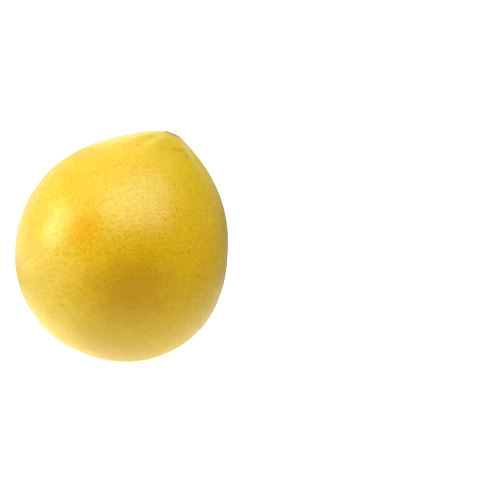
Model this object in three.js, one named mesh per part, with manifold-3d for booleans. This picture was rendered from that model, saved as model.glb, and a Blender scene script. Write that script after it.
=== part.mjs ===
// A whole pomelo, as picked, standing on its own underside.
// Units are millimetres and +Z is up. The origin is the middle of the small flat spot that it rests on.
// +X is the side that the neck leans to, and -Y is the front.

import * as THREE from "three";
import { mergeVertices } from "three/addons/utils/BufferGeometryUtils.js";
import Module from "manifold-3d";

const DEGREE = Math.PI / 180;

// The round body and the neck that rises from it to the stem, measured from the heart of the fruit
const ROUND_RADIUS = 75.4;
const LOW_WEIGHT = 1.0; // how much the body gains at the blossom end, and loses at the stem end
const NECK_RISE = 19.6; // height of the neck over the round body, at the stem
const NECK_SPREAD = 28.5; // degrees from the stem at which the neck has fallen to a third of its height
const NECK_POWER = 1.12; // above 1, so the neck runs into the body with no kink
const LEAN = 23.5; // degrees that the neck leans from upright

// The underside opposite the stem, where the flower was: a wide flattening with a small scar in it
const BLOSSOM_FLATTENING = 1.5;
const BLOSSOM_SPREAD = 28;
const SCAR_DEPTH = 0.9;
const SCAR_RADIUS = 5;

// The end of the neck: a shallow seat with a soft lip, which holds the stem button
const SEAT_RADIUS = 5.6;
const SEAT_DEPTH = 1.8;
const LIP_WIDTH = 0.7;

// Faint furrows that run down the neck from the stem
const FURROWS = [
  { count: 7, height: 0.3, turn: 0.4 },
  { count: 11, height: 0.18, turn: 2.1 },
];
const FURROW_MIDDLE = 15; // degrees from the stem at which they are deepest
const FURROW_SPREAD = 13;

// Broad swellings (or hollows, where the height is below 0) that make the fruit a little lopsided
const SWELLINGS = [
  { towards: [0.3, 0, -0.95], height: 1.5, spread: 30 },
  { towards: [0.68, 0, -0.73], height: 0.9, spread: 18 },
  { towards: [-0.69, 0, -0.72], height: 1.0, spread: 22 },
  { towards: [1, 0, -0.07], height: -1.8, spread: 19 },
  { towards: [0.8, 0, 0.6], height: 0.8, spread: 13 },
  { towards: [-1, 0, -0.05], height: -0.7, spread: 30 },
  { towards: [-0.6, 0, 0.8], height: 0.6, spread: 24 },
  { towards: [0.25, -0.9, 0.2], height: 0.9, spread: 34 },
  { towards: [-0.3, 0.9, 0.1], height: -1.2, spread: 32 },
  { towards: [0.6, 0.7, -0.3], height: 0.9, spread: 26 },
];

// The soft rind gives a little under the fruit's weight
const REST_SPOT_DEPTH = 1.4;

// The stem button: the dry calyx with the cut end of the stem in its middle
const BUTTON_GAP = 0.3;
const CALYX_RADIUS = 4.7;
const CALYX_THICKNESS = 1.5;
const CALYX_ROUNDING = 0.75;
const CALYX_LOBES = 5;
const LOBE_REACH = 0.45;
const TROUGH_WIDTH = 0.8; // the groove in the calyx, round the stem
const TROUGH_DEPTH = 0.35;
const STUB_RADIUS = 2.3;
const STUB_HEIGHT = 2.0;
const STUB_ROUNDING = 0.4;
const STUB_HOLLOW = 0.5; // how far the cut end dips in its middle

// How finely the surfaces are divided
const RIND_SEGMENTS = 66;
const RIND_RING_STEP = 4.5; // degrees between rings on the round body
const FINE_RINGS = [0.9, 2.2, 4, 6.4]; // degrees past the lip, and before the scar's middle
const BUTTON_SEGMENTS = 40;
const CURVE_STEPS = 3;
const SAME_PLACE = 1e-3; // points nearer than this are one point

const wasm = await Module();
wasm.setup();

const bell = (distance, spread) => Math.exp(-((distance / spread) ** 2));

// Distance from the heart to the smooth rind, at so many degrees from the stem.
function meridian(angle) {
  const neck = NECK_RISE * Math.exp(-((angle / NECK_SPREAD) ** NECK_POWER));
  const low = LOW_WEIGHT * Math.cos(angle * DEGREE);
  const flattening = BLOSSOM_FLATTENING * bell(180 - angle, BLOSSOM_SPREAD);
  const fromScar = ROUND_RADIUS * Math.sin(angle * DEGREE);
  const scar = angle > 90 ? SCAR_DEPTH * bell(fromScar, SCAR_RADIUS) : 0;
  return ROUND_RADIUS - low + neck - flattening - scar;
}

const LIP_ANGLE = Math.asin((SEAT_RADIUS + LIP_WIDTH) / meridian(0)) / DEGREE;
const LIP_HEIGHT = meridian(LIP_ANGLE) * Math.cos(LIP_ANGLE * DEGREE);
const SEAT_HEIGHT = LIP_HEIGHT - SEAT_DEPTH;

// Degrees from the stem at which the rind has a ring: close together at the lip and at the scar.
function ringAngles() {
  const first = LIP_ANGLE + FINE_RINGS.at(-1);
  const last = 180 - FINE_RINGS.at(-1);
  const count = Math.round((last - first) / RIND_RING_STEP);
  const angles = [LIP_ANGLE, ...FINE_RINGS.map((past) => LIP_ANGLE + past)];
  for (let ring = 1; ring < count; ring++) {
    angles.push(first + (ring * (last - first)) / count);
  }
  return [...angles, ...FINE_RINGS.toReversed().map((before) => 180 - before), 180];
}

// The rind's half outline, from the middle of the seat round to the middle of the scar.
function rindOutline() {
  const seat = [
    new THREE.Vector2(0, SEAT_HEIGHT),
    new THREE.Vector2(SEAT_RADIUS - LIP_WIDTH / 2, SEAT_HEIGHT),
    new THREE.Vector2(SEAT_RADIUS, SEAT_HEIGHT + LIP_WIDTH / 2),
    new THREE.Vector2(SEAT_RADIUS, LIP_HEIGHT - LIP_WIDTH),
    new THREE.Vector2(SEAT_RADIUS + LIP_WIDTH / 3, LIP_HEIGHT - LIP_WIDTH / 4),
  ];
  const body = ringAngles().map((angle) => {
    const reach = meridian(angle);
    return new THREE.Vector2(reach * Math.sin(angle * DEGREE), reach * Math.cos(angle * DEGREE));
  });
  body.at(-1).x = 0;
  return [...seat, ...body];
}

const STEM = new THREE.Vector3(0, 0, 1).applyAxisAngle(new THREE.Vector3(0, 1, 0), LEAN * DEGREE);
const ACROSS = new THREE.Vector3(1, 0, 0).applyAxisAngle(new THREE.Vector3(0, 1, 0), LEAN * DEGREE);
const BEHIND = new THREE.Vector3(0, 1, 0);

// How far the rind stands out of the smooth outline in a direction from the heart.
function reliefTowards(direction) {
  let relief = 0;
  for (const { towards, height, spread } of SWELLINGS) {
    const middle = new THREE.Vector3(...towards).normalize();
    relief += height * bell(direction.angleTo(middle) / DEGREE, spread);
  }
  const fromStem = direction.angleTo(STEM) / DEGREE;
  const round = Math.atan2(direction.dot(BEHIND), direction.dot(ACROSS));
  const pastLip = THREE.MathUtils.smoothstep(fromStem, LIP_ANGLE, FURROW_MIDDLE);
  const furrowed = pastLip * bell(fromStem - FURROW_MIDDLE, FURROW_SPREAD);
  for (const { count, height, turn } of FURROWS) {
    relief += height * furrowed * Math.cos(count * round + turn);
  }
  return relief;
}

// A closed geometry as a solid that can be cut.
function solidOf(geometry) {
  const bare = geometry.clone();
  bare.deleteAttribute("normal");
  bare.deleteAttribute("uv");
  const merged = mergeVertices(bare, SAME_PLACE);
  return new wasm.Manifold(
    new wasm.Mesh({
      numProp: 3,
      vertProperties: merged.attributes.position.array,
      triVerts: new Uint32Array(merged.index.array),
    }),
  );
}

function geometryOf(solid) {
  const mesh = solid.getMesh();
  const geometry = new THREE.BufferGeometry();
  geometry.setAttribute("position", new THREE.BufferAttribute(mesh.vertProperties, 3));
  geometry.setIndex(new THREE.BufferAttribute(mesh.triVerts, 1));
  geometry.computeVertexNormals();
  return geometry;
}

// Turned from a half outline that starts at the stem end. A lathe turns round Y, so its work is stood on Z.
function turned(outline, segments) {
  return new THREE.LatheGeometry(outline.toReversed(), segments).rotateX(Math.PI / 2);
}

function makeRind() {
  const rind = turned(rindOutline(), RIND_SEGMENTS).rotateY(LEAN * DEGREE);
  const place = rind.attributes.position;
  const point = new THREE.Vector3();
  for (let i = 0; i < place.count; i++) {
    point.fromBufferAttribute(place, i);
    const reach = point.length();
    point.normalize();
    point.multiplyScalar(reach + reliefTowards(point));
    place.setXYZ(i, point.x, point.y, point.z);
  }
  rind.computeBoundingBox();
  return rind;
}

// Cuts the rind off flat where it meets the table, and gives it back with the middle of that flat spot.
function pressOnTable(rind) {
  const floor = rind.boundingBox.min.z + REST_SPOT_DEPTH;
  const width = 2 * ROUND_RADIUS;
  const table = new THREE.BoxGeometry(width, width, width).translate(0, 0, floor - width / 2);
  const pressed = geometryOf(solidOf(rind).subtract(solidOf(table)));
  const spot = new THREE.Box3();
  const point = new THREE.Vector3();
  for (let i = 0; i < pressed.attributes.position.count; i++) {
    point.fromBufferAttribute(pressed.attributes.position, i);
    if (point.z < floor + SAME_PLACE) spot.expandByPoint(point);
  }
  const middle = spot.getCenter(new THREE.Vector3());
  middle.z = floor;
  return { pressed, middle };
}

// The button's half outline, from the middle of the cut stem round to the middle of the underside.
function buttonOutline() {
  const hollow = STUB_HEIGHT - STUB_HOLLOW;
  const trough = CALYX_THICKNESS - TROUGH_DEPTH;
  const outline = new THREE.Path();
  outline.moveTo(0, hollow);
  outline.quadraticCurveTo(STUB_RADIUS / 2, hollow, STUB_RADIUS - STUB_ROUNDING, STUB_HEIGHT);
  outline.quadraticCurveTo(STUB_RADIUS, STUB_HEIGHT, STUB_RADIUS, STUB_HEIGHT - STUB_ROUNDING);
  outline.lineTo(STUB_RADIUS, trough);
  outline.lineTo(STUB_RADIUS + TROUGH_WIDTH, trough);
  outline.lineTo(CALYX_RADIUS - CALYX_ROUNDING, CALYX_THICKNESS);
  outline.quadraticCurveTo(CALYX_RADIUS, CALYX_THICKNESS, CALYX_RADIUS, CALYX_THICKNESS - CALYX_ROUNDING);
  outline.quadraticCurveTo(CALYX_RADIUS, 0, CALYX_RADIUS - CALYX_ROUNDING, 0);
  outline.lineTo(0, 0);
  return outline.getPoints(CURVE_STEPS);
}

function makeButton() {
  const button = turned(buttonOutline(), BUTTON_SEGMENTS);
  const place = button.attributes.position;
  for (let i = 0; i < place.count; i++) {
    const x = place.getX(i);
    const y = place.getY(i);
    const reach = Math.hypot(x, y);
    const outer = THREE.MathUtils.smoothstep(reach, STUB_RADIUS, CALYX_RADIUS);
    const lobed = 1 + (LOBE_REACH / CALYX_RADIUS) * outer * Math.cos(CALYX_LOBES * Math.atan2(y, x));
    place.setXY(i, x * lobed, y * lobed);
  }
  return button.rotateY(LEAN * DEGREE);
}

const rindFinish = new THREE.MeshStandardMaterial({ color: 0xe6bb2a, roughness: 0.45, metalness: 0 });
const woodyFinish = new THREE.MeshStandardMaterial({ color: 0x7d5f3a, roughness: 0.9, metalness: 0 });

const { pressed, middle } = pressOnTable(makeRind());

const fruit = new THREE.Mesh(pressed, rindFinish);
fruit.name = "fruit";
fruit.position.copy(middle).negate();

const stemButton = new THREE.Mesh(makeButton(), woodyFinish);
stemButton.name = "stem_button";
stemButton.position
  .copy(STEM)
  .multiplyScalar(SEAT_HEIGHT + reliefTowards(STEM) + BUTTON_GAP)
  .sub(middle);

const pomelo = new THREE.Group();
pomelo.name = "pomelo";
pomelo.add(fruit, stemButton);

export default pomelo;
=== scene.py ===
"""A whole pomelo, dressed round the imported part.

Metres, +Z up, the origin in the middle of the flat spot it rests on.
"""

import math

import bmesh
import bpy
from mathutils import Matrix, Vector, noise
from mathutils.bvhtree import BVHTree


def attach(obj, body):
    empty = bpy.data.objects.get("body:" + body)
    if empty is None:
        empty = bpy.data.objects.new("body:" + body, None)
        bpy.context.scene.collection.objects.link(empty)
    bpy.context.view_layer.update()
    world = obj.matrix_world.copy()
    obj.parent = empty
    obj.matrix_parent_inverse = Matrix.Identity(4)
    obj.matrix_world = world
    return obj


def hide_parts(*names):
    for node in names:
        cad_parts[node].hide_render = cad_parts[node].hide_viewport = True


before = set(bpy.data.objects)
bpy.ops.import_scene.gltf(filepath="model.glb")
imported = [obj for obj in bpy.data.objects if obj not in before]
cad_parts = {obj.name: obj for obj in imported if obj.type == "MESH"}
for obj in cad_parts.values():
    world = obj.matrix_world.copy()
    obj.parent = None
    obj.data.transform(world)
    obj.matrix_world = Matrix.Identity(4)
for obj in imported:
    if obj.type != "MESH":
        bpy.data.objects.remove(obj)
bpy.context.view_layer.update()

MM = 0.001
PIXELS = 500

# The fruit's form, measured from its heart, as in the part's own source
HEART = Vector((-3.67, 0, 75.34)) * MM
ROUND_RADIUS = 75.4 * MM
LOW_WEIGHT = 1.0 * MM
NECK_RISE = 19.6 * MM
NECK_SPREAD = 28.5
NECK_POWER = 1.12
LEAN = math.radians(23.5)
BLOSSOM_FLATTENING = 1.5 * MM
BLOSSOM_SPREAD = 28
SCAR_DEPTH = 0.9 * MM
SCAR_RADIUS = 5 * MM
SEAT_RADIUS = 5.6 * MM
SEAT_DEPTH = 1.8 * MM
LIP_WIDTH = 0.7 * MM
BUTTON_GAP = 0.3 * MM

# Each swelling: direction from the heart, height, spread in degrees
SWELLINGS = [
    ((0.3, 0, -0.95), 1.5 * MM, 30),
    ((0.68, 0, -0.73), 0.9 * MM, 18),
    ((-0.69, 0, -0.72), 1.0 * MM, 22),
    ((1, 0, -0.07), -1.8 * MM, 19),
    ((0.8, 0, 0.6), 0.8 * MM, 13),
    ((-1, 0, -0.05), -0.7 * MM, 30),
    ((-0.6, 0, 0.8), 0.6 * MM, 24),
    ((0.25, -0.9, 0.2), 0.9 * MM, 34),
    ((-0.3, 0.9, 0.1), -1.2 * MM, 32),
    ((0.6, 0.7, -0.3), 0.9 * MM, 26),
]

# Furrows down the neck: how many, height, turn
FURROWS = [(7, 0.3 * MM, 0.4), (11, 0.18 * MM, 2.1)]
FURROW_MIDDLE = 15
FURROW_SPREAD = 13

# The unevenness of the skin, from broad lumps to the grain between the pits: size of a lump, height
UNEVENNESS = [(26 * MM, 0.34 * MM), (11 * MM, 0.13 * MM), (4.5 * MM, 0.08 * MM)]
PRESSED_EDGE = 0.25 * MM

# How finely the skin is divided
RIND_SEGMENTS = 330
SEAT_STEP = 0.35 * MM
LIP_STEPS = 6
NEAR_STEPS = [0.35, 0.75, 1.2, 1.7]
BODY_STEP = 0.74
SAME_POINT = 0.002 * MM

# The camera, at the photograph's angle
LENS = 100
SENSOR = 36
CAMERA_RISE = math.radians(10)
CAMERA_REACH = 0.983
CAMERA_CLIP = (0.05, 50)
HEART_PIXEL = (122.4, 253.0)


def bell(distance, spread):
    return math.exp(-((distance / spread) ** 2))


def smooth_step(value, low, high):
    share = min(max((value - low) / (high - low), 0), 1)
    return share * share * (3 - 2 * share)


# The skin


def meridian(angle):
    """Distance from the heart to the smooth skin, at so many degrees from the stem."""
    turn = math.radians(angle)
    neck = NECK_RISE * math.exp(-((angle / NECK_SPREAD) ** NECK_POWER))
    flattening = BLOSSOM_FLATTENING * bell(180 - angle, BLOSSOM_SPREAD)
    scar = SCAR_DEPTH * bell(ROUND_RADIUS * math.sin(turn), SCAR_RADIUS) if angle > 90 else 0
    return ROUND_RADIUS - LOW_WEIGHT * math.cos(turn) + neck - flattening - scar


LIP_ANGLE = math.degrees(math.asin((SEAT_RADIUS + LIP_WIDTH) / meridian(0)))
LIP_HEIGHT = meridian(LIP_ANGLE) * math.cos(math.radians(LIP_ANGLE))
SEAT_HEIGHT = LIP_HEIGHT - SEAT_DEPTH
LEAN_OVER = Matrix.Rotation(LEAN, 3, "Y")
STEM = LEAN_OVER @ Vector((0, 0, 1))
ACROSS = LEAN_OVER @ Vector((1, 0, 0))
SEAT_PLACE = HEART + STEM * SEAT_HEIGHT
BLOSSOM_PLACE = HEART - STEM * meridian(180)


def skin_outline():
    """Half outline as (radius, height), from the middle of the seat to the blossom scar."""
    points = []
    floor_steps = int(SEAT_RADIUS / SEAT_STEP)
    for step in range(floor_steps):
        points.append((SEAT_RADIUS * step / floor_steps, SEAT_HEIGHT))
    wall = SEAT_DEPTH - LIP_WIDTH
    wall_steps = int(wall / SEAT_STEP)
    for step in range(wall_steps):
        points.append((SEAT_RADIUS, SEAT_HEIGHT + wall * step / wall_steps))
    for step in range(LIP_STEPS):
        turn = math.pi / 2 * step / LIP_STEPS
        points.append(
            (
                SEAT_RADIUS + LIP_WIDTH * (1 - math.cos(turn)),
                LIP_HEIGHT - LIP_WIDTH * (1 - math.sin(turn)),
            )
        )
    angles = [LIP_ANGLE] + [LIP_ANGLE + near for near in NEAR_STEPS]
    first = angles[-1]
    rings = round((180 - first) / BODY_STEP)
    angles += [first + (180 - first) * ring / rings for ring in range(1, rings + 1)]
    for angle in angles:
        turn = math.radians(angle)
        points.append((meridian(angle) * math.sin(turn), meridian(angle) * math.cos(turn)))
    points[-1] = (0, points[-1][1])
    return points


def spun(outline, segments):
    """A closed skin, turned round Z from a half outline whose two ends are on the axis."""
    bm = bmesh.new()
    line = [bm.verts.new((radius, 0, height)) for radius, height in outline]
    edges = [bm.edges.new(pair) for pair in zip(line, line[1:])]
    bmesh.ops.spin(
        bm,
        geom=line + edges,
        cent=(0, 0, 0),
        axis=(0, 0, 1),
        angle=math.tau,
        steps=segments,
        use_merge=True,
    )
    bmesh.ops.remove_doubles(bm, verts=bm.verts, dist=SAME_POINT)
    bmesh.ops.recalc_face_normals(bm, faces=bm.faces)
    return bm


def relief_towards(direction):
    """How far the skin stands out of its smooth outline, in a direction from the heart."""
    relief = 0
    for towards, height, spread in SWELLINGS:
        relief += height * bell(math.degrees(direction.angle(Vector(towards))), spread)
    from_stem = math.degrees(direction.angle(STEM))
    around = math.atan2(direction.y, direction.dot(ACROSS))
    past_lip = smooth_step(from_stem, LIP_ANGLE, FURROW_MIDDLE)
    furrowed = past_lip * bell(from_stem - FURROW_MIDDLE, FURROW_SPREAD)
    for count, height, turn in FURROWS:
        relief += height * furrowed * math.cos(count * around + turn)
    for size, height in UNEVENNESS:
        relief += past_lip * height * noise.noise(direction * (ROUND_RADIUS / size))
    return relief


def pressed(height):
    """The skin's height over the table: it gives softly where the fruit rests."""
    return (height + math.hypot(height, PRESSED_EDGE)) / 2


def finished(name, bm):
    """A smooth-shaded object from a bmesh, riding on the part, still without its material."""
    mesh = bpy.data.meshes.new(name)
    for face in bm.faces:
        face.smooth = True
    bm.to_mesh(mesh)
    bm.free()
    made = bpy.data.objects.new(name, mesh)
    bpy.context.scene.collection.objects.link(made)
    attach(made, "root")
    return made


def skin_mesh():
    """The skin with its swellings and furrows, leaned over and pressed flat where it rests."""
    bm = spun(skin_outline(), RIND_SEGMENTS)
    for vert in bm.verts:
        direction = LEAN_OVER @ vert.co
        reach = direction.length
        direction.normalize()
        vert.co = HEART + direction * (reach + relief_towards(direction))
        vert.co.z = pressed(vert.co.z)
    return bm


# The stem button: a lobed calyx, and in its middle the stub of the cut stem

CALYX_RADIUS = 4.95 * MM
CALYX_THICKNESS = 1.5 * MM
CALYX_ROUNDING = 0.7 * MM
CALYX_LOBES = 5
LOBE_REACH = 0.4 * MM
TROUGH_WIDTH = 0.8 * MM
TROUGH_DEPTH = 0.35 * MM
STUB_RADIUS = 2.3 * MM
STUB_HEIGHT = 2.0 * MM
STUB_ROUNDING = 0.4 * MM
STUB_HOLLOW = 0.5 * MM
BUTTON_SEGMENTS = 150
ROUNDING_STEPS = 6
WRINKLES = 0.12 * MM
WRINKLE_SIZE = 0.9 * MM


def curve(start, control, end, steps):
    """Points of a quadratic curve, without its last."""
    points = []
    for step in range(steps):
        share = step / steps
        points.append(
            tuple(
                (1 - share) ** 2 * a + 2 * share * (1 - share) * b + share * share * c
                for a, b, c in zip(start, control, end)
            )
        )
    return points


def button_outline():
    """From the middle of the cut stem round to the middle of the underside."""
    hollow = (0, STUB_HEIGHT - STUB_HOLLOW)
    cut_edge = (STUB_RADIUS - STUB_ROUNDING, STUB_HEIGHT)
    stub_side = (STUB_RADIUS, STUB_HEIGHT - STUB_ROUNDING)
    trough = (STUB_RADIUS, CALYX_THICKNESS - TROUGH_DEPTH)
    rise = (STUB_RADIUS + TROUGH_WIDTH, CALYX_THICKNESS - TROUGH_DEPTH)
    top = (CALYX_RADIUS - CALYX_ROUNDING, CALYX_THICKNESS)
    rim = (CALYX_RADIUS, CALYX_THICKNESS - CALYX_ROUNDING)
    under = (CALYX_RADIUS - CALYX_ROUNDING, 0)
    points = curve(hollow, (STUB_RADIUS / 2, hollow[1]), cut_edge, 2 * ROUNDING_STEPS)
    points += curve(cut_edge, (STUB_RADIUS, STUB_HEIGHT), stub_side, ROUNDING_STEPS)
    points += curve(stub_side, trough, rise, ROUNDING_STEPS)
    points += curve(rise, (top[0] - CALYX_ROUNDING, CALYX_THICKNESS), top, ROUNDING_STEPS)
    points += curve(top, (CALYX_RADIUS, CALYX_THICKNESS), rim, ROUNDING_STEPS)
    points += curve(rim, (CALYX_RADIUS, 0), under, ROUNDING_STEPS)
    points += [under, (0, 0)]
    return points


def button_mesh():
    """The button, wrinkled on its top, set into its seat."""
    bm = spun(button_outline(), BUTTON_SEGMENTS)
    for vert in bm.verts:
        reach = math.hypot(vert.co.x, vert.co.y)
        around = math.atan2(vert.co.y, vert.co.x)
        outer = smooth_step(reach, STUB_RADIUS, CALYX_RADIUS)
        lobed = 1 + LOBE_REACH / CALYX_RADIUS * outer * math.cos(CALYX_LOBES * around)
        rough = noise.noise(vert.co / WRINKLE_SIZE)
        vert.co.x *= lobed
        vert.co.y *= lobed
        if vert.co.z > 0:
            vert.co.z += WRINKLES * rough
        vert.co = SEAT_PLACE + STEM * BUTTON_GAP + LEAN_OVER @ vert.co
    return bm


# Shader nodes

# The sockets of a mix node that belong to colours
MIX_SHARE = 0
MIX_FIRST = 6
MIX_SECOND = 7
MIX_RESULT = 2


class Nodes:
    """A node tree, with short ways to add a node, set its sockets and link it."""

    def __init__(self, tree):
        self.tree = tree

    def feed(self, socket, value):
        """Link a socket to another one, or set it to a value."""
        if isinstance(value, bpy.types.NodeSocket):
            self.tree.links.new(value, socket)
        else:
            socket.default_value = value

    def add(self, kind, sockets=None, **settings):
        """A new node, with its sockets and its settings given by name."""
        made = self.tree.nodes.new(kind)
        for name, value in settings.items():
            setattr(made, name, value)
        for name, value in (sockets or {}).items():
            self.feed(made.inputs[name], value)
        return made

    def math(self, operation, first, second):
        made = self.add("ShaderNodeMath", operation=operation)
        self.feed(made.inputs[0], first)
        self.feed(made.inputs[1], second)
        return made.outputs[0]

    def mix(self, share, first, second):
        """The first colour, with a share of the second laid over it."""
        made = self.add("ShaderNodeMix", data_type="RGBA")
        self.feed(made.inputs[MIX_SHARE], share)
        self.feed(made.inputs[MIX_FIRST], first)
        self.feed(made.inputs[MIX_SECOND], second)
        return made.outputs[MIX_RESULT]

    def ramp(self, value, low, high, start=0.0, end=1.0):
        """Start at low and before, end at high and after, and smooth between."""
        made = self.add(
            "ShaderNodeMapRange",
            {"Value": value, "From Min": low, "From Max": high, "To Min": start, "To Max": end},
            interpolation_type="SMOOTHSTEP",
        )
        return made.outputs["Result"]

    def cloud(self, where, size, detail):
        """Soft noise with lumps of about a size in metres, from 0 to 1."""
        made = self.add(
            "ShaderNodeTexNoise", {"Vector": where, "Scale": 1 / size, "Detail": detail}
        )
        return made.outputs["Fac"]

    def patches(self, where, size, detail, low, high, start=0.0, end=1.0):
        """Cloudy patches: start where the noise is under low, end where it is over high."""
        return self.ramp(self.cloud(where, size, detail), low, high, start, end)

    def distance(self, where, place):
        made = self.add("ShaderNodeVectorMath", operation="DISTANCE")
        self.feed(made.inputs[0], where)
        self.feed(made.inputs[1], place)
        return made.outputs["Value"]

    def bump(self, height, depth):
        """Surface directions for a relief, where a height of 1 stands for a depth in metres."""
        made = self.add("ShaderNodeBump", {"Height": height, "Distance": depth, "Strength": 1.0})
        return made.outputs["Normal"]

    def group(self, tree, label, **sockets):
        """The outputs of a node group. Its inputs are given by their names in small letters."""
        made = self.add("ShaderNodeGroup", node_tree=tree, label=label)
        for name, value in sockets.items():
            self.feed(made.inputs[name.capitalize()], value)
        return made.outputs


def new_group(name, inputs, outputs):
    """A new shader node group: its nodes, the sockets it is given, and the ones it gives out."""
    tree = bpy.data.node_groups.new(name, "ShaderNodeTree")
    for socket, kind in inputs:
        tree.interface.new_socket(socket, in_out="INPUT", socket_type=kind)
    for socket, kind in outputs:
        tree.interface.new_socket(socket, in_out="OUTPUT", socket_type=kind)
    nodes = Nodes(tree)
    return nodes, nodes.add("NodeGroupInput").outputs, nodes.add("NodeGroupOutput").inputs


# The edge of a speck and the reach of its dip, as shares of its size
SPECK_EDGE = 0.35
DIP_REACH = 1.7


def speckle_group():
    """Round specks of varying size scattered over a surface, and the dip that each one makes."""
    nodes, given, out = new_group(
        "speckles",
        [
            ("Where", "NodeSocketVector"),
            ("Spacing", "NodeSocketFloat"),
            ("Size", "NodeSocketFloat"),
            ("Spread", "NodeSocketFloat"),
        ],
        [("Mask", "NodeSocketFloat"), ("Dip", "NodeSocketFloat")],
    )
    scale = nodes.math("DIVIDE", 1.0, given["Spacing"])
    cells = nodes.add("ShaderNodeTexVoronoi", {"Vector": given["Where"], "Scale": scale})
    random = nodes.add("ShaderNodeSeparateColor", {"Color": cells.outputs["Color"]}).outputs["Red"]
    smaller = nodes.math("MULTIPLY", random, given["Spread"])
    size = nodes.math("MULTIPLY", given["Size"], nodes.math("SUBTRACT", 1.0, smaller))
    edge = nodes.math("DIVIDE", cells.outputs["Distance"], size)
    nodes.feed(out["Mask"], nodes.ramp(edge, SPECK_EDGE, 1.0, 1.0, 0.0))
    nodes.feed(out["Dip"], nodes.ramp(edge, 0.0, DIP_REACH, 1.0, 0.0))
    return nodes.tree


# The lumps in the ragged edge of a mark: how many to its radius, detail, mean height
EDGE_LUMPS = 1.3
EDGE_DETAIL = 3.0
NOISE_MIDDLE = 0.5


def mark_group():
    """A patch round a place, with a soft and ragged edge."""
    nodes, given, out = new_group(
        "mark",
        [
            ("Where", "NodeSocketVector"),
            ("Place", "NodeSocketVector"),
            ("Radius", "NodeSocketFloat"),
            ("Softness", "NodeSocketFloat"),
        ],
        [("Mask", "NodeSocketFloat")],
    )
    away = nodes.distance(given["Where"], given["Place"])
    share = nodes.math("DIVIDE", away, given["Radius"])
    lumps = nodes.add(
        "ShaderNodeTexNoise",
        {
            "Vector": given["Where"],
            "Scale": nodes.math("DIVIDE", EDGE_LUMPS, given["Radius"]),
            "Detail": EDGE_DETAIL,
        },
    ).outputs["Fac"]
    ragged = nodes.math("ADD", share, nodes.math("SUBTRACT", lumps, NOISE_MIDDLE))
    inner = nodes.math("SUBTRACT", 1.0, given["Softness"])
    outer = nodes.math("ADD", 1.0, given["Softness"])
    nodes.feed(out["Mask"], nodes.ramp(ragged, inner, outer, 1.0, 0.0))
    return nodes.tree


def new_material(name, finish):
    """A new material with its finish set: the material, its nodes and the shader's inputs."""
    material = bpy.data.materials.new(name)
    material.use_nodes = True
    shader = material.node_tree.nodes["Principled BSDF"]
    for socket, value in finish.items():
        shader.inputs[socket].default_value = value
    return material, Nodes(material.node_tree), shader.inputs


# The waxy rind

# Golden: the rind's own ground tone, also laid on the belly as partly painted shade
GOLDEN = (0.84, 0.555, 0.001, 1)
PALE_YELLOW = (0.86, 0.65, 0.02, 1)
# Painted sheen: a pale cream with a little blue, standing in for the reflection of the top and left
# lights
PAINTED_SHEEN_CREAM = (0.86, 0.635, 0.1, 1)
# Lime: partly the neck's own green, partly painted shade on its right
LIME_YELLOW = (0.8, 0.6, 0.002, 1)
NECK_OLIVE = (0.68, 0.535, 0.02, 1)
# Partly a painted floor reflection: a paler, duller olive with some blue, partly the foot's own
# olive
OLIVE_AND_PAINTED_REFLECTION = (0.63, 0.47, 0.07, 1)
# Deep gold: partly the rind's own tone, partly painted shade on the right side
DEEP_GOLD = (0.9, 0.6, 0.0005, 1)
WARM_ORANGE = (0.86, 0.49, 0.001, 1)
# Mustard: the darker tone of the pebbly grain, and painted shade in the middle of the front
MUSTARD = (0.66, 0.39, 0.0005, 1)
GLAND_BROWN = (0.56, 0.32, 0.001, 1)
CORK_BROWN = (0.58, 0.36, 0.14, 1)
CORK_ORANGE = (0.78, 0.38, 0.06, 1)
CREASE_GREEN = (0.56, 0.33, 0.003, 1)
SCAB_RUST = (0.68, 0.28, 0.003, 1)

RIND_FINISH = {
    "IOR": 1.43,
    "Sheen Weight": 0.1,
    "Sheen Roughness": 0.5,
    "Sheen Tint": (1, 0.85, 0.45, 1),
    "Subsurface Weight": 0.12,
    "Subsurface Radius": (1.0, 0.6, 0.1),
    "Subsurface Scale": 3 * MM,
    "Coat Roughness": 0.26,
    "Coat IOR": 1.4,
}

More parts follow.
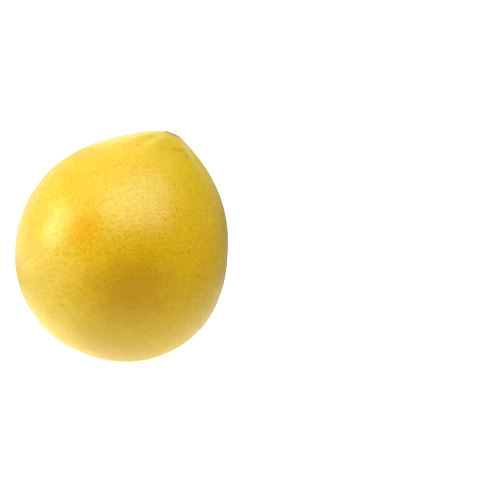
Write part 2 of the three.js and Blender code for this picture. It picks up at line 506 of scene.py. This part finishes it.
# Marks seen on the front, from broad tints to specks: pixel, radius, softness, colour, strength.
# Some broad tints are painted light: painted sheen on the brow and the left side, painted shade in
# the middle and on the shaded right, and a painted floor reflection at the foot.
MARKS = {
    # Partly painted floor reflection: a pale bluish olive where the white floor's reflection and
    # bounce fall, partly the foot's own olive edge
    "olive_foot_and_painted_reflection": ((115, 348), 34 * MM, 0.9, OLIVE_AND_PAINTED_REFLECTION, 0.8),
    # Partly painted shade: a deeper gold over the shaded lower middle, partly the rind's own golden
    # tone
    "golden_belly_and_painted_shade": ((140, 262), 42 * MM, 0.8, GOLDEN, 0.85),
    # Partly painted shade: a darker, greener tint on the shaded right of the neck, partly the
    # neck's own green
    "lime_shoulder_and_painted_shade": ((198, 180), 24 * MM, 0.9, LIME_YELLOW, 0.9),
    # Partly painted shade: a deep gold with no blue on the shaded right side, partly the rind's own
    # tone
    "deep_gold_side_and_painted_shade": ((208, 262), 26 * MM, 0.9, DEEP_GOLD, 0.8),
    # Painted sheen: pale cream where the top softbox's broad reflection falls across the brow
    "painted_sheen_brow": ((122, 186), 33 * MM, 0.9, PAINTED_SHEEN_CREAM, 0.85),
    # Painted sheen: the same pale cream on the lit left side, where the bright left light falls
    "painted_sheen_side": ((44, 280), 24 * MM, 0.9, PAINTED_SHEEN_CREAM, 0.75),
    # Painted shade: a darker mustard over the middle's darkest band, which faces neither the lights
    # nor the floor
    "painted_shade_middle": ((132, 289), 20 * MM, 0.9, MUSTARD, 0.75),
    "faint_blush": ((138, 236), 16 * MM, 0.9, WARM_ORANGE, 0.25),
    "blush": ((86, 226), 9 * MM, 0.9, WARM_ORANGE, 0.9),
    "blush_heart": ((84, 225), 4 * MM, 0.9, CORK_ORANGE, 0.15),
    "blush_tail": ((74, 238), 7 * MM, 0.9, WARM_ORANGE, 0.5),
    "rust_scab": ((105, 281), 0.9 * MM, 0.6, SCAB_RUST, 0.75),
    "low_speck": ((62, 305), 0.7 * MM, 0.5, CREASE_GREEN, 0.9),
    "left_speck": ((45, 215), 0.6 * MM, 0.5, CORK_ORANGE, 0.7),
    "neck_speck": ((138, 145), 1.2 * MM, 0.8, CREASE_GREEN, 0.6),
    "crease_start": ((174, 149), 1.8 * MM, 0.9, CREASE_GREEN, 0.5),
    "crease_middle": ((178, 150), 2.0 * MM, 0.9, CREASE_GREEN, 0.4),
    "crease_end": ((182, 150), 1.6 * MM, 0.9, CREASE_GREEN, 0.45),
    "lower_crease": ((187, 156), 2.2 * MM, 0.9, CREASE_GREEN, 0.45),
    "crease_speck": ((191, 157), 1.2 * MM, 0.8, CORK_ORANGE, 0.5),
}

# Cloudy patches: size, detail, the noise where they start and end, the value before and after
PALE_PATCHES = (34 * MM, 2, 0.3, 0.7, 0.35, 1.0)
ORANGE_PATCHES = (5 * MM, 4, 0.45, 0.8, 0, 0.5)
GLAND_PATCHES = (14 * MM, 3, 0.35, 0.65, 0.5, 1.0)
GLOSS_PATCHES = (9 * MM, 3, 0.3, 0.7, 0.29, 0.38)

# How far from the stem the neck is green, and where the glands get plain: from, to, value there
NECK_GREEN = (12 * MM, 46 * MM, 0.7, 0)
GLANDS_GROW = (18 * MM, 66 * MM, 0.25, 1.0)

# Oil glands: large and small dots in pits, and how strongly they are coloured and sunk
LARGE_GLANDS = {"spacing": 1.8 * MM, "size": 0.44, "spread": 0.4}
SMALL_GLANDS = {"spacing": 1.15 * MM, "size": 0.46, "spread": 0.4}
LARGE_STRENGTH = 0.48
SMALL_STRENGTH = 0.34
SMALL_DIP = 0.45
PIT_DEPTH = 0.18 * MM

# The mottled, pebbly skin between the glands: size and detail, the mottle's patches, the relief
PEBBLES = (1.9 * MM, 2)
PEBBLE_MOTTLE = (0.4, 0.68, 0, 0.35)
PEBBLE_DIP = 1.2

# Where the glands are faintest
SMOOTH_PIXEL = (44, 284)
SMOOTH_PATCH = {"radius": 32 * MM, "softness": 0.8}
SMOOTH_STRENGTH = 0.35

# Cork round the stem and the blossom scar: the size, detail and reach of its rays,
# how far the stain and the cork go (from, to, value there), and its dull, rough skin
RAYS = (1.6 * MM, 4)
RAY_REACH = 2.4 * MM
STAIN_REACH = (6.9 * MM, 11.5 * MM, 0.75, 0)
CORK_REACH = (6.6 * MM, 7.7 * MM, 1, 0)
SCAR_REACH = (3.4 * MM, 6.2 * MM, 0.9, 0)
CORK_ROUGHNESS = 0.4
CORK_RELIEF = 2.0
WAX_COAT = 0.72


def rind_material(speckles, mark, place_of):
    """Yellow wax rind, with the marks that the front shows, some of them painted sheen, painted
    shade and a painted floor reflection.
    """
    material, nodes, shader = new_material("waxy_rind", RIND_FINISH)
    where = nodes.add("ShaderNodeTexCoord").outputs["Object"]
    from_stem = nodes.distance(where, SEAT_PLACE)
    from_blossom = nodes.distance(where, BLOSSOM_PLACE)

    # Ground colour, with soft mottling and a greener neck
    colour = nodes.mix(nodes.patches(where, *PALE_PATCHES), GOLDEN, PALE_YELLOW)
    colour = nodes.mix(nodes.ramp(from_stem, *NECK_GREEN), colour, NECK_OLIVE)
    colour = nodes.mix(nodes.patches(where, *ORANGE_PATCHES), colour, WARM_ORANGE)

    # Marks, among them painted sheen, painted shade and a painted floor reflection
    for name, (pixel, radius, softness, tint, strength) in MARKS.items():
        place = place_of(pixel)
        patch = nodes.group(mark, name, where=where, place=place, radius=radius, softness=softness)
        colour = nodes.mix(nodes.math("MULTIPLY", patch["Mask"], strength), colour, tint)

    # Oil glands, plainer away from the stem and in patches
    pebbles = nodes.cloud(where, *PEBBLES)
    grown = nodes.ramp(from_stem, *GLANDS_GROW)
    mottle = nodes.math("MULTIPLY", nodes.ramp(pebbles, *PEBBLE_MOTTLE), grown)
    colour = nodes.mix(mottle, colour, MUSTARD)
    large = nodes.group(speckles, "large_glands", where=where, **LARGE_GLANDS)
    small = nodes.group(speckles, "small_glands", where=where, **SMALL_GLANDS)
    patchy = nodes.math("MULTIPLY", nodes.patches(where, *GLAND_PATCHES), grown)
    place = place_of(SMOOTH_PIXEL)
    smooth = nodes.group(mark, "smooth_skin", where=where, place=place, **SMOOTH_PATCH)
    kept = nodes.ramp(smooth["Mask"], 0, 1, 1.0, SMOOTH_STRENGTH)
    patchy = nodes.math("MULTIPLY", patchy, kept)
    dots = nodes.math("MULTIPLY", large["Mask"], nodes.math("MULTIPLY", patchy, LARGE_STRENGTH))
    faint = nodes.math("MULTIPLY", small["Mask"], nodes.math("MULTIPLY", patchy, SMALL_STRENGTH))
    colour = nodes.mix(nodes.math("MAXIMUM", dots, faint), colour, GLAND_BROWN)

    # Cork round the stem, and the scar where the flower was
    rays = nodes.cloud(where, *RAYS)
    ragged = nodes.math("ADD", from_stem, nodes.math("MULTIPLY", rays, RAY_REACH))
    colour = nodes.mix(nodes.ramp(ragged, *STAIN_REACH), colour, CORK_ORANGE)
    cork = nodes.ramp(ragged, *CORK_REACH)
    colour = nodes.mix(cork, colour, CORK_BROWN)
    ragged = nodes.math("ADD", from_blossom, nodes.math("MULTIPLY", rays, RAY_REACH))
    scar = nodes.ramp(ragged, *SCAR_REACH)
    colour = nodes.mix(scar, colour, CORK_BROWN)
    nodes.feed(shader["Base Color"], colour)

    # Wax, with a gloss that varies softly and is dull on the cork
    dull = nodes.math("MAXIMUM", cork, scar)
    rough = nodes.patches(where, *GLOSS_PATCHES)
    rough = nodes.math("ADD", rough, nodes.math("MULTIPLY", dull, CORK_ROUGHNESS))
    nodes.feed(shader["Roughness"], rough)
    nodes.feed(shader["Coat Weight"], nodes.ramp(dull, 0, 1, WAX_COAT, 0))

    # Pits, the fine grain between them and the roughness of the cork
    pits = nodes.math("ADD", large["Dip"], nodes.math("MULTIPLY", small["Dip"], SMALL_DIP))
    height = nodes.math("SUBTRACT", nodes.math("MULTIPLY", pebbles, -PEBBLE_DIP), pits)
    crust = nodes.math("MULTIPLY", dull, nodes.math("MULTIPLY", rays, CORK_RELIEF))
    height = nodes.math("ADD", height, crust)
    nodes.feed(shader["Normal"], nodes.bump(height, PIT_DEPTH))
    return material


# The dry stem

STEM_FINISH = {"IOR": 1.4, "Specular IOR Level": 0.3}
BARK_BROWN = (0.6, 0.38, 0.2, 1)
BARK_GREY = (0.66, 0.5, 0.31, 1)
CUT_TAN = (0.66, 0.52, 0.33, 1)
CRACK_DARK = (0.05, 0.025, 0.012, 1)

# The bark's patches: size and detail, then the noise where grey starts and is full,
# and the roughness from brown to grey
BARK = (2.5 * MM, 5)
BARK_GREYING = (0.35, 0.65)
BARK_ROUGHNESS = (0.3, 0.7, 0.95, 0.8)

# How far the cut reaches from its middle, the pores, the dark grain, and the fibres in relief
CUT_REACH = (1.5 * MM, 2.0 * MM, 1, 0)
PORES = {"spacing": 0.4 * MM, "size": 0.3, "spread": 0.7}
PORE_STRENGTH = 0.3
GRAIN_PATCHES = (0.8 * MM, 6, 0.5, 0.75, 0, 0.35)
FIBRES = (0.5 * MM, 4)
FIBRE_DEPTH = 0.15 * MM


def stem_material(speckles):
    """Dry bark, with the paler face of the cut."""
    material, nodes, shader = new_material("dry_stem", STEM_FINISH)
    where = nodes.add("ShaderNodeTexCoord").outputs["Object"]
    from_cut = nodes.distance(where, SEAT_PLACE + STEM * (BUTTON_GAP + STUB_HEIGHT))
    bark = nodes.cloud(where, *BARK)
    colour = nodes.mix(nodes.ramp(bark, *BARK_GREYING), BARK_BROWN, BARK_GREY)
    colour = nodes.mix(nodes.ramp(from_cut, *CUT_REACH), colour, CUT_TAN)
    pores = nodes.group(speckles, "pores", where=where, **PORES)
    dark_pores = nodes.math("MULTIPLY", pores["Mask"], PORE_STRENGTH)
    worn = nodes.math("MAXIMUM", nodes.patches(where, *GRAIN_PATCHES), dark_pores)
    colour = nodes.mix(worn, colour, CRACK_DARK)
    nodes.feed(shader["Base Color"], colour)
    nodes.feed(shader["Roughness"], nodes.ramp(bark, *BARK_ROUGHNESS))
    height = nodes.math("SUBTRACT", nodes.cloud(where, *FIBRES), pores["Dip"])
    nodes.feed(shader["Normal"], nodes.bump(height, FIBRE_DEPTH))
    return material


# Camera, floor and lights


def make_camera():
    """A camera at the photograph's angle, placed so that the fruit's heart falls on its pixel."""
    camera = bpy.data.objects.new("camera", bpy.data.cameras.new("camera"))
    bpy.context.scene.collection.objects.link(camera)
    bpy.context.scene.camera = camera
    camera.data.lens = LENS
    camera.data.sensor_width = SENSOR
    camera.data.clip_start, camera.data.clip_end = CAMERA_CLIP
    forward = Vector((0, math.cos(CAMERA_RISE), -math.sin(CAMERA_RISE)))
    up = Vector((0, math.sin(CAMERA_RISE), math.cos(CAMERA_RISE)))
    right = Vector((1, 0, 0))
    per_pixel = CAMERA_REACH * SENSOR / LENS / PIXELS
    across = (HEART_PIXEL[0] - PIXELS / 2) * per_pixel
    above = (PIXELS / 2 - HEART_PIXEL[1]) * per_pixel
    camera.location = HEART - forward * CAMERA_REACH - right * across - up * above
    camera.rotation_euler = (math.pi / 2 - CAMERA_RISE, 0, 0)
    bpy.context.view_layer.update()
    return camera


def pixel_places(camera, obj):
    """A function that gives the place on an object that a pixel of the photograph shows."""
    tree = BVHTree.FromObject(obj, bpy.context.evaluated_depsgraph_get())

    def place_of(pixel):
        half = SENSOR / LENS / 2
        x = (pixel[0] / (PIXELS / 2) - 1) * half
        y = (1 - pixel[1] / (PIXELS / 2)) * half
        ray = camera.matrix_world.to_3x3() @ Vector((x, y, -1))
        return tree.ray_cast(camera.matrix_world.translation, ray)[0]

    return place_of


FLOOR_SIZE = 12.0
FLOOR_FINISH = {
    "Base Color": (0.45, 0.45, 0.45, 1),
    "Roughness": 0.9,
    "Specular IOR Level": 0.2,
    "Emission Color": (1, 1, 1, 1),
}

# The light that the floor throws near the fruit, from left to right and from near to far,
# and what it throws from far at the left: from, to, strength there
GLOW_ACROSS = (-80 * MM, 160 * MM, 0.62, 0.33)
GLOW_AWAY = (80 * MM, 260 * MM, 1.0, 0.0)
GLOW_MIDDLE = (0, 35 * MM, 0)
GLOW_FAR_LEFT = (-480 * MM, -120 * MM, 0.58, 0.0)

# The glow that keeps the floor white to the camera, from near to far
GLOW_SHOWN = (80 * MM, 260 * MM, 0.62, 1.0)

# Soft lights: name, direction from the fruit, distance, width, height, power
LIGHTS = [
    ("top_softbox", (0.23, -0.59, 0.84), 1.0, 1.2, 0.8, 6.1),
    ("left_softbox", (-0.9, -0.22, 0.4), 0.8, 0.36, 0.42, 1.7),
    ("back_softbox", (0.12, 0.82, 0.62), 1.0, 0.9, 0.8, 1.2),
]

# The room's light by direction: bright at the left and less so at the right, dark in front,
# brightest near the floor: from, to, strength there
ROOM_ACROSS = (-0.9, 0.6, 0.455, 0.21)
ROOM_BACK = (-0.85, -0.2, 0.185, 1.0)
ROOM_UP = (0.0, 0.7, 1.75, 1.0)


def make_floor():
    """A pale floor that throws light up at the fruit. The camera sees it white."""
    bm = bmesh.new()
    bmesh.ops.create_grid(bm, x_segments=1, y_segments=1, size=FLOOR_SIZE / 2)
    mesh = bpy.data.meshes.new("floor")
    bm.to_mesh(mesh)
    bm.free()
    floor = bpy.data.objects.new("floor", mesh)
    bpy.context.scene.collection.objects.link(floor)
    material, nodes, shader = new_material("white_floor", FLOOR_FINISH)
    where = nodes.add("ShaderNodeTexCoord").outputs["Object"]
    across = nodes.add("ShaderNodeSeparateXYZ", {"Vector": where}).outputs["X"]
    away = nodes.ramp(nodes.distance(where, GLOW_MIDDLE), *GLOW_AWAY)
    near = nodes.math("MULTIPLY", nodes.ramp(across, *GLOW_ACROSS), away)
    thrown = nodes.math("MAXIMUM", near, nodes.ramp(across, *GLOW_FAR_LEFT))
    white = nodes.ramp(nodes.distance(where, (0, 0, 0)), *GLOW_SHOWN)
    seen = nodes.add("ShaderNodeLightPath").outputs["Is Camera Ray"]
    glow = nodes.add("ShaderNodeMix", {"Factor": seen, "A": thrown, "B": white}, data_type="FLOAT")
    nodes.feed(shader["Emission Strength"], glow.outputs["Result"])
    mesh.materials.append(material)


def make_lights():
    """Softboxes round the fruit, all facing its heart."""
    for name, towards, reach, width, height, power in LIGHTS:
        light = bpy.data.lights.new(name, "AREA")
        light.shape = "RECTANGLE"
        light.size = width
        light.size_y = height
        light.energy = power
        lamp = bpy.data.objects.new(name, light)
        bpy.context.scene.collection.objects.link(lamp)
        direction = Vector(towards).normalized()
        lamp.location = HEART + direction * reach
        lamp.rotation_euler = direction.to_track_quat("Z", "Y").to_euler()


def make_world():
    """The room's light. What the camera sees of it is white, like the floor."""
    world = bpy.data.worlds.new("studio")
    world.use_nodes = True
    bpy.context.scene.world = world
    nodes = Nodes(world.node_tree)
    towards = nodes.add("ShaderNodeTexCoord").outputs["Generated"]
    axes = nodes.add("ShaderNodeSeparateXYZ", {"Vector": towards}).outputs
    across = nodes.ramp(axes["X"], *ROOM_ACROSS)
    back = nodes.ramp(axes["Y"], *ROOM_BACK)
    up = nodes.ramp(axes["Z"], *ROOM_UP)
    light = nodes.math("MULTIPLY", nodes.math("MULTIPLY", across, back), up)
    seen = nodes.add("ShaderNodeLightPath").outputs["Is Camera Ray"]
    background = world.node_tree.nodes["Background"]
    background.inputs["Color"].default_value = (1, 1, 1, 1)
    nodes.feed(background.inputs["Strength"], nodes.math("MAXIMUM", light, seen))


def main():
    camera = make_camera()
    make_floor()
    make_lights()
    make_world()
    bpy.context.scene.view_settings.view_transform = "Standard"
    bpy.context.scene.view_settings.look = "High Contrast"

    speckles = speckle_group()
    mark = mark_group()

    rind = finished("rind", skin_mesh())
    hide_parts("fruit")
    rind.data.materials.append(rind_material(speckles, mark, pixel_places(camera, rind)))

    button = finished("stem_button_dry", button_mesh())
    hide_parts("stem_button")
    button.data.materials.append(stem_material(speckles))


main()
